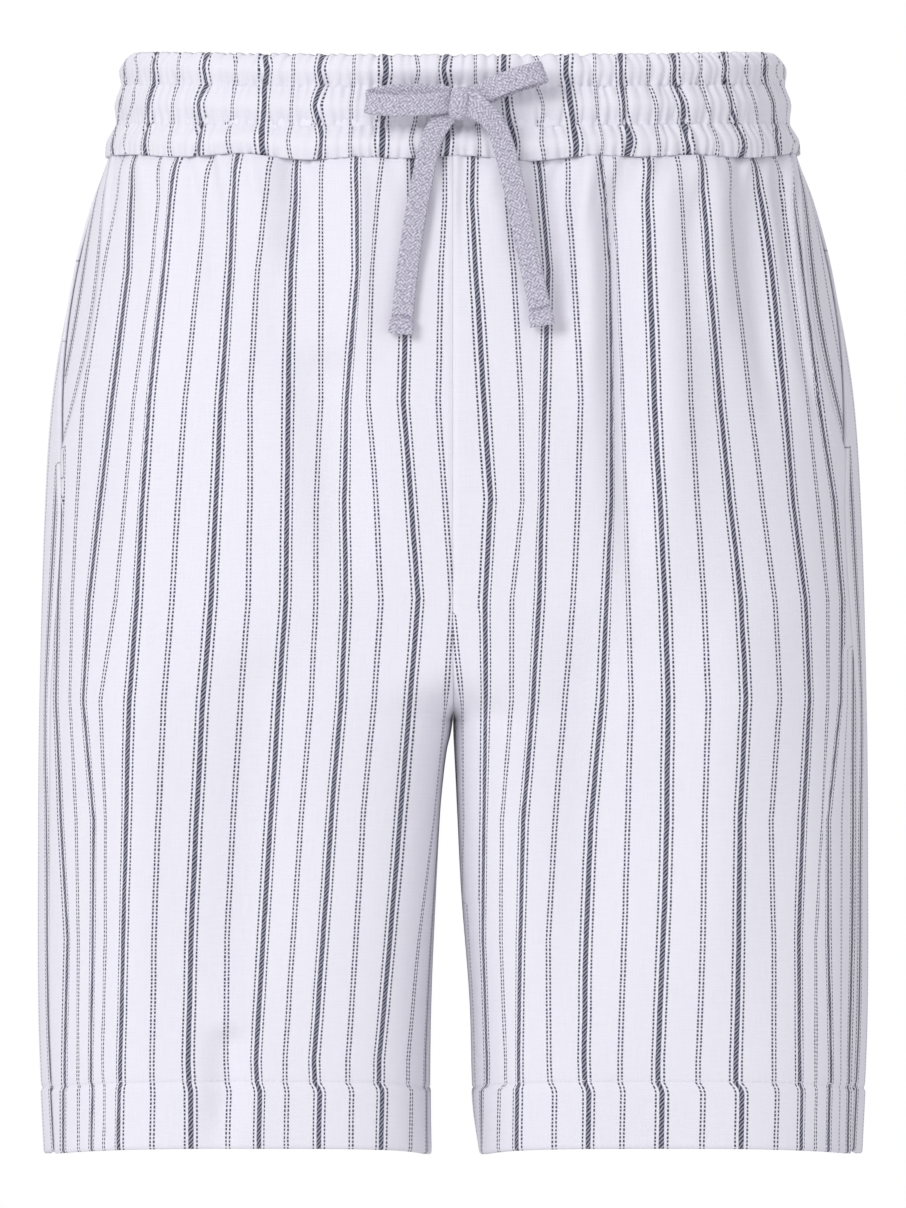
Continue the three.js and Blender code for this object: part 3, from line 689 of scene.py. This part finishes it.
def ringRows(levels):    # rings from the middle of the back round the wearer's left side, at some heights
    rows = []
    for z in levels:
        half, front, back = (tableValue(casingRows, name, z) for name in ("half", "front", "back"))
        end = {"centre": 0, "width": half, "square": casing["square"]}
        section = {"outer": end, "inner": end, "middle": 0, "front": front, "back": back}
        row = clothRow(section, -math.pi / 2, math.pi * 1.5, casing["columns"])
        row["facing"] = row["y"] / np.where(row["y"] < 0, front, back)
        rows.append(row)
    return columnsOf(rows, "x", "y", "nx", "ny", "along", "facing")


def waistbandPiece(material):
    levels = [np.linspace(low, high, count + 1)[1:] for low, high, count in zip(
        casing["sewn"], casing["sewn"][1:], casing["rowsInTier"])]
    levels = np.concatenate([[waistSeam]] + levels)
    x, y, nx, ny, along, facing = ringRows(levels)
    middle = len(levels) // 2
    out, slide = puckerField(levels, along[middle], along[middle, -1])
    out *= 1 - casing["sides"] * smooth((np.abs(x[middle]) / x[middle].max() - 0.7) / 0.25)
    z = np.broadcast_to(levels[:, None], x.shape)
    crown = np.clip((z - waistTop) / casing["crown"] + 1, 0, 1)
    scallop = casing["scallop"] * (out + 0.6) * smooth((z - waistTop + 5) / 5)
    out = out - casing["topRound"] * (1 - np.sqrt(1 - 0.98 * crown**2))
    outer = np.stack([x + nx * out, y + ny * out, z + lift(z, facing) + scallop + seamWave(x, z)], axis=-1)
    smoothForm = np.stack([x, y, z + lift(z, facing)], axis=-1)
    slopes = np.full(len(levels), -1 / casing["gather"])
    across = stripePlaces(bandLines, bandRows, smoothForm, along, y < 0, slopes)
    across = across + (across[middle] - across) * smooth(y / casing["backFade"]) + slide

    innerLevels = np.linspace(waistTop - casing["innerDrop"], waistSeam, casing["innerRows"])
    x, y, nx, ny, _, facing = ringRows(innerLevels)
    innerZ = np.broadcast_to(innerLevels[:, None], x.shape)
    wall = casing["wall"]
    level = innerZ + lift(innerZ, facing) + seamWave(x, innerZ)
    inner = np.stack([x - nx * wall, y - ny * wall, level], axis=-1)

    points = np.concatenate([outer[:, :-1], inner[:, :-1]])
    ids = np.arange(points.shape[0] * points.shape[1]).reshape(points.shape[:2])
    ids = np.concatenate([ids, ids[:, :1]], axis=1)
    ids = np.concatenate([ids, ids[:1]], axis=0)
    cloth = np.concatenate([np.stack([across, -z], axis=-1),
                            np.stack([np.broadcast_to(across[-1], inner.shape[:2]), -innerZ], axis=-1)])
    cloth = np.concatenate([cloth, cloth[:1]], axis=0)
    spots = np.arange(cloth.shape[0] * cloth.shape[1]).reshape(cloth.shape[:2])
    piece = meshPiece("waistband_cloth", points.reshape(-1, 3), gridFaces(ids),
                      cloth.reshape(-1, 2)[gridFaces(spots)], material)
    sewn = [outer[sum(casing["rowsInTier"][:i])] for i in (1, 2)]
    return piece, sewn


# Stitches: short threads laid along lines on the cloth

stitching = {
    "casing": {"pitch": 3.1, "length": 1.9, "radius": 0.08},
    "hem": {"pitch": 3.0, "length": 2.2, "radius": 0.2},
    "pocket": {"pitch": 3.0, "length": 2.2, "radius": 0.2},
    "tape": {"pitch": 1.9, "length": 1.5, "radius": 0.22},
    "aboveHem": 1.8,       # height of the hem's row of stitches above its line
    "pocketDrop": 145,     # length of the pocket's row
    "pocketColumn": 5,     # column of the panel's grid that the pocket's row follows
}


def stitchTree():
    tree = bpy.data.node_groups.new("stitch_line", "GeometryNodeTree")
    kinds = {
        "Lines": "Geometry", "Pitch": "Float", "Length": "Float", "Radius": "Float", "Thread": "Material",
    }
    for name, kind in kinds.items():
        tree.interface.new_socket(name, in_out="INPUT", socket_type="NodeSocket" + kind)
    tree.interface.new_socket("Stitches", in_out="OUTPUT", socket_type="NodeSocketGeometry")

    def add(kind, inputs, settings=None):
        return addNode(tree, kind, settings or {}, inputs)

    given = tree.nodes.new("NodeGroupInput").outputs
    curve = add("GeometryNodeMeshToCurve", {"Mesh": given["Lines"]}).outputs["Curve"]
    spaced = add("GeometryNodeResampleCurve", {"Curve": curve, "Length": given["Pitch"]}, {"mode": "LENGTH"})
    size = add("ShaderNodeCombineXYZ", {"X": given["Length"], "Y": given["Radius"], "Z": given["Radius"]})
    bead = add("GeometryNodeMeshUVSphere", {"Segments": 8, "Rings": 5, "Radius": 1.0})
    thread = add("GeometryNodeTransform", {"Geometry": bead.outputs["Mesh"], "Scale": size.outputs[0]})
    tangent = add("GeometryNodeInputTangent", {}).outputs[0]
    turned = add("FunctionNodeAlignRotationToVector", {"Vector": tangent}, {"axis": "X"}).outputs[0]
    uneven = add("FunctionNodeRandomValue", {"Min": (0.85, 0.8, 0.8), "Max": (1.1, 1.15, 1.15), "Seed": 3},
                 {"data_type": "FLOAT_VECTOR"}).outputs[0]
    laid = add("GeometryNodeInstanceOnPoints", {
        "Points": spaced.outputs["Curve"], "Instance": thread.outputs[0],
        "Rotation": turned, "Scale": uneven,
    })
    whole = add("GeometryNodeRealizeInstances", {"Geometry": laid.outputs["Instances"]})
    finish = {"Geometry": whole.outputs["Geometry"], "Material": given["Thread"]}
    painted = add("GeometryNodeSetMaterial", finish)
    end = tree.nodes.new("NodeGroupOutput")
    tree.links.new(painted.outputs["Geometry"], end.inputs["Stitches"])
    return tree


def stitchPiece(name, lines, size, tree, thread):
    points = np.concatenate(lines)
    edges = []
    start = 0
    for line in lines:
        edges += [(start + i, start + i + 1) for i in range(len(line) - 1)]
        start += len(line)
    mesh = bpy.data.meshes.new(name + "_lines")
    mesh.from_pydata((points * mm).tolist(), edges, [])
    guide = addObject(name + "_lines", mesh)
    modifier = guide.modifiers.new("stitches", "NODES")
    modifier.node_group = tree
    values = {"Pitch": size["pitch"] * mm, "Length": size["length"] / 2 * mm, "Radius": size["radius"] * mm,
              "Thread": thread}
    for item in tree.interface.items_tree:
        if item.name in values and item.in_out == "INPUT":
            modifier[item.identifier] = values[item.name]
    shown = guide.evaluated_get(bpy.context.evaluated_depsgraph_get())
    made = bpy.data.meshes.new_from_object(shown)
    made.name = name
    made.polygons.foreach_set("use_smooth", [True] * len(made.polygons))
    bpy.data.objects.remove(guide)
    return addObject(name, made)


# The drawstring: flat woven tape, tied in a bow

tapeSize = {
    "width": 10, "thick": 1.6, "step": 0.5, "side": 13,
    "folded": 7.4, "foldThick": 1.5, "foldGroove": 0.9, "endSpread": 0.15,    # a tail's turned and sewn end
    "flareLength": 9,                  # how far from the knot a flared tail is wider
    "rib": 5, "thread": 1.6, "slant": 0.9, "relief": 0.13,                    # the chevron weave
}
tapes = {
    "drawstring_loop_left": {
        "upright": (0.1, 0, 1), "folded": False,
        "route": [
            (-1.6, -116.8, -3.6), (-7.8, -118.6, -4.4), (-15.6, -119.4, -5.1), (-24.4, -119.4, -5.5),
            (-32.2, -118.8, -5.1), (-37.5, -117.6, -4.6), (-39.5, -115.6, -3.6), (-37.5, -113.4, -2.2),
            (-32.2, -112.4, -1), (-24.4, -112, -0.1), (-15.6, -112, 0.1), (-7.8, -112.2, -0.5),
            (-1.6, -113, -1.4),
        ],
    },
    "drawstring_loop_right": {
        "upright": (-0.36, 0, 0.93), "folded": False,
        "route": [
            (5.6, -118.3, -2.9), (11.4, -117.8, -0.7), (16.6, -119.2, 1.9), (22.5, -121.8, 4.4),
            (29.3, -122.4, 7), (35.7, -122.2, 8.9), (40.2, -120.8, 10.1), (41.8, -118.6, 10.1),
            (39.8, -116.6, 9.1), (34.8, -115.6, 7.4), (28.3, -115, 5.4), (21.5, -114.6, 3.1),
            (16.1, -114.6, 0.7), (11.4, -114.8, -1),
        ],
    },
    "drawstring_tail_left": {
        "upright": None, "folded": True,
        "route": [
            (-2.3, -114.5, -8.8), (-5.9, -115, -13.4), (-9.6, -115, -20.2), (-12.3, -115, -30),
            (-14.6, -115.4, -41.7), (-17.1, -116.2, -54.4), (-18.9, -116.8, -66.1), (-20.6, -117.2, -77.8),
            (-22.1, -117.8, -90.5), (-23.2, -118.4, -101.2), (-24.3, -119, -111),
        ],
    },
    "drawstring_tail_right": {
        "upright": None, "folded": True, "flare": 0.3,
        "route": [
            (4.4, -119.9, -4.2), (8.8, -121.2, -5.1), (13.3, -121.8, -8.1), (17.2, -121.2, -11.4),
            (20.5, -119.8, -16.1), (23.1, -118.2, -23.1), (25.8, -117, -32.9), (28.7, -116.6, -45.6),
            (31.6, -117, -59.2), (34.5, -117.4, -72.9), (37.3, -117.8, -85.6), (39.6, -118.2, -96.4),
            (41.4, -118.8, -107.1),
        ],
    },
}
knotWrap = {
    "centre": (2.9, -117.2, -4.4), "halfWidth": 4.6, "halfDepth": 6.1, "halfHeight": 7.5,
    "around": 96, "across": 27, "edgeRound": 0.5, "square": 0.78, "crease": 0.035, "girth": 44,
}


def smoothRoute(points, step):    # a centripetal curve through the points, at even steps
    given = np.array(points, float)
    padded = np.concatenate([[2 * given[0] - given[1]], given, [2 * given[-1] - given[-2]]])
    parts = []
    for i in range(len(given) - 1):
        before, a, b, after = padded[i:i + 4]
        d0, d1, d2 = (math.sqrt(np.linalg.norm(q - p)) for p, q in ((before, a), (a, b), (b, after)))
        slopeA = ((a - before) / d0 - (b - before) / (d0 + d1) + (b - a) / d1) * d1
        slopeB = ((b - a) / d1 - (after - a) / (d1 + d2) + (after - b) / d2) * d1
        t = np.linspace(0, 1, 40, endpoint=i == len(given) - 2)[:, None]
        parts.append(curveBetween(a, slopeA, b, slopeB, t))
    fine = np.concatenate(parts)
    lengths = np.concatenate([[0], np.cumsum(np.linalg.norm(np.diff(fine, axis=0), axis=1))])
    places = np.linspace(0, lengths[-1], int(lengths[-1] / step) + 1)
    return np.stack([np.interp(places, lengths, fine[:, i]) for i in range(3)], axis=-1), places


def weaveHeight(across, along):    # the raised threads of the tape's chevron weave
    rib = np.abs((across / tapeSize["rib"] + 0.5) % 1 - 0.5) * tapeSize["rib"]
    phase = (along + tapeSize["slant"] * rib) / tapeSize["thread"]
    return tapeSize["relief"] * np.sin(2 * math.pi * phase)


def ringedPiece(name, rings, places, material):    # a closed strip from rings whose second half runs back
    count, around = rings.shape[:2]
    ids = np.arange(count * around).reshape(count, around)
    closed = np.concatenate([ids, ids[:, :1]], axis=1)
    half = around // 2
    caps = [np.stack([end[:half], end[:half - 1:-1]]) for end in (ids[0], ids[-1, ::-1])]
    faces = np.concatenate([gridFaces(closed)] + [gridFaces(cap) for cap in caps])
    return meshPiece(name, rings.reshape(-1, 3), faces, places.reshape(-1, 2)[faces], material)


def tapePiece(name, values, material):
    line, along = smoothRoute(values["route"], tapeSize["step"])
    ahead = np.gradient(line, axis=0)
    ahead /= np.linalg.norm(ahead, axis=1)[:, None]
    if values["upright"]:
        upright = np.array(values["upright"]) / np.linalg.norm(values["upright"])
        side = upright - (ahead @ upright)[:, None] * ahead
    else:
        side = np.stack([-ahead[:, 2], np.zeros(len(line)), ahead[:, 0]], axis=-1)
    side /= np.linalg.norm(side, axis=1)[:, None]
    facing = np.cross(ahead, side)
    facing /= np.linalg.norm(facing, axis=1)[:, None]
    if not values["upright"] and facing[:, 1].mean() > 0:
        facing = -facing
    across = np.linspace(-1, 1, tapeSize["side"]) * tapeSize["width"] / 2
    thick = tapeSize["thick"] / 2 * (1 - 0.45 * np.abs(2 * across / tapeSize["width"]) ** 8)
    spread = 1 + values.get("flare", 0) * np.exp(-((along / tapeSize["flareLength"]) ** 2))
    fromFold = along - along[-1] + tapeSize["folded"]
    doubled = np.zeros(len(along))
    if values["folded"]:
        spread = spread + tapeSize["endSpread"] * smooth(fromFold / 1.2)
        doubled = smooth(fromFold / 0.5) - tapeSize["foldGroove"] * np.exp(-(((fromFold + 0.7) / 0.5) ** 2))
    side = side * spread[:, None]
    woven = weaveHeight(across[None, :], along[:, None])
    front = thick[None, :] + woven + doubled[:, None] * tapeSize["foldThick"]
    middle = line[:, None] + side[:, None] * across[None, :, None]
    top = middle + facing[:, None] * front[..., None]
    back = middle - facing[:, None] * (thick + woven)[..., None]
    rings = np.concatenate([top, back[:, ::-1]], axis=1)
    place = np.stack(np.broadcast_arrays(across[None, :], along[:, None]), axis=-1)
    piece = ringedPiece(name + "_tape", rings, np.concatenate([place, place[:, ::-1]], axis=1), material)
    seam = np.argmin(np.abs(along - along[-1] + tapeSize["folded"] - 1.2))
    return piece, line, top[seam, 2:-2] + facing[seam] * 0.1


def knotPiece(material):
    wrap = knotWrap
    turn = np.linspace(-1, 1, wrap["across"]) * math.pi / 2 * 0.985
    angle = (np.arange(wrap["around"]) + 0.5) / wrap["around"] * 2 * math.pi
    inward = np.cos(turn)[:, None] ** wrap["edgeRound"]
    across = np.broadcast_to((wrap["halfWidth"] * power(np.sin(turn), wrap["edgeRound"]))[:, None],
                             (wrap["across"], wrap["around"]))
    along = np.broadcast_to(angle[None, :] / (2 * math.pi) * wrap["girth"], across.shape)
    creased = wrap["crease"] * np.sin(across / 1.9 + 0.8)
    radius = inward * (1 + creased + weaveHeight(across, along) / wrap["halfHeight"])
    x = across + 0.5 * np.sin(angle)[None, :]
    y = wrap["halfDepth"] * radius * power(np.cos(angle), wrap["square"])[None, :]
    z = wrap["halfHeight"] * radius * power(np.sin(angle), wrap["square"])[None, :]
    rings = np.stack([x, y, z], axis=-1) + np.array(wrap["centre"])
    return ringedPiece("drawstring_knot_tape", rings, np.stack([across, along], axis=-1), material)


print("stage: camera and drawstring")
placeCamera()
tape = tapeMaterial()
thread = threadMaterial()
stitches = stitchTree()
tapeEnds = []
knot = knotPiece(tape)
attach(knot, "root")
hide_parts("drawstring_knot")
for name, values in tapes.items():
    piece, line, seam = tapePiece(name, values, tape)
    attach(piece, "root")
    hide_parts(name)
    tuple(line[0] * mm)
    (line[::2] * mm).tolist()
    if values["folded"]:
        tapeEnds.append(seam)

print("stage: panels")
linen = linenMaterial()
pieces = {}
grids = {}
for side in ("left", "right"):
    for face in ("front", "back"):
        name = f"{face}_{side}"
        grids[name] = panelGrids(face, side)
        pieces[name] = wallPiece(f"{name}_cloth", *grids[name], linen)
    name = f"pocket_facing_{side}"
    grids[name] = facingGrids(side)
    pieces[name] = wallPiece(f"{name}_cloth", *grids[name], linen)

print("stage: waistband")
pieces["waistband"], casingSeams = waistbandPiece(linen)

for name, piece in pieces.items():
    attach(piece, "root")
    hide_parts(name)
    "gathered" if name == "waistband" else "hung"
    ["waistband"] if name != "waistband" else []

print("stage: stitches")
hemRow = np.argmin(np.abs(panelLevels() - hemLine - stitching["aboveHem"]))
hemLines = [outer[hemRow] for name, (outer, _, _) in grids.items() if "pocket" not in name]
pocketRows = int(stitching["pocketDrop"] / clothGrid["rowStep"])
pocketColumn = stitching["pocketColumn"]
pocketLines = [grids[f"front_{side}"][0][:pocketRows, pocketColumn] for side in ("left", "right")]
for name, lines, size in (
    ("waistband_stitches", casingSeams, "casing"), ("hem_stitches", hemLines, "hem"),
    ("pocket_stitches", pocketLines, "pocket"), ("tape_stitches", tapeEnds, "tape"),
):
    piece = stitchPiece(name, lines, stitching[size], stitches, tape if size == "tape" else thread)
    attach(piece, "root")
    "tape" if size == "tape" else "linen"

print("stage: floor and light")
studio = {
    "floorLevel": -0.62, "floorRadius": 1.5, "floorSides": 96, "aim": (0, 0, -0.24),
    "backdrop": (1, 1, 1, 1), "sky": (0.96, 0.95, 1.0, 1), "skyStrength": 0.6,
    "lights": {
        "key": {"place": (-2.0, -3.2, 1.3), "size": 1.6, "power": 68},
        "fill": {"place": (2.1, -3.2, 0.1), "size": 2.5, "power": 13},
        "top": {"place": (-0.3, 0.6, 2.3), "size": 2.0, "power": 12},
    },
}


def makeFloor():
    sides, radius = studio["floorSides"], studio["floorRadius"]
    angles = [2 * math.pi * i / sides for i in range(sides)]
    rim = [(radius * math.cos(a), radius * math.sin(a), studio["floorLevel"]) for a in angles]
    mesh = bpy.data.meshes.new("floor")
    mesh.from_pydata(rim, [], [list(range(sides))])
    paint = Paint("floor")
    place = paint.node("ShaderNodeTexCoord", {}, {}, 3)
    grain = paint.node("ShaderNodeTexNoise", {}, {"Vector": place, "Scale": 3.0})
    colour = paint.mix(grain, (0.93, 0.93, 0.93, 1), (0.95, 0.95, 0.95, 1))
    mesh.materials.append(paint.finish(colour, grain, {"strength": 0.0, "depth": 0.1}, {"Roughness": 1.0}))
    floor = addObject("floor", mesh)


def makeLight(name, values):
    data = bpy.data.lights.new(name, "AREA")
    data.size = values["size"]
    data.energy = values["power"]
    light = addObject(name, data)
    light.location = values["place"]
    aim = Vector(studio["aim"]) - Vector(values["place"])
    light.rotation_euler = aim.to_track_quat("-Z", "Y").to_euler()


def makeWorld():    # a soft sky for light, seen by the camera as a plain white backdrop
    world = bpy.data.worlds.new("world")
    world.use_nodes = True
    tree = world.node_tree
    sky = tree.nodes["Background"]
    sky.inputs["Color"].default_value = studio["sky"]
    sky.inputs["Strength"].default_value = studio["skyStrength"]
    seen = addNode(tree, "ShaderNodeBackground", {}, {"Color": studio["backdrop"]})
    path = addNode(tree, "ShaderNodeLightPath", {}, {})
    choice = {0: path.outputs["Is Camera Ray"], 1: sky.outputs[0], 2: seen.outputs[0]}
    either = addNode(tree, "ShaderNodeMixShader", {}, choice)
    tree.links.new(either.outputs[0], tree.nodes["World Output"].inputs["Surface"])
    bpy.context.scene.world = world
    bpy.context.scene.view_settings.view_transform = "Standard"


makeFloor()
makeWorld()
for name, values in studio["lights"].items():
    makeLight(name, values)
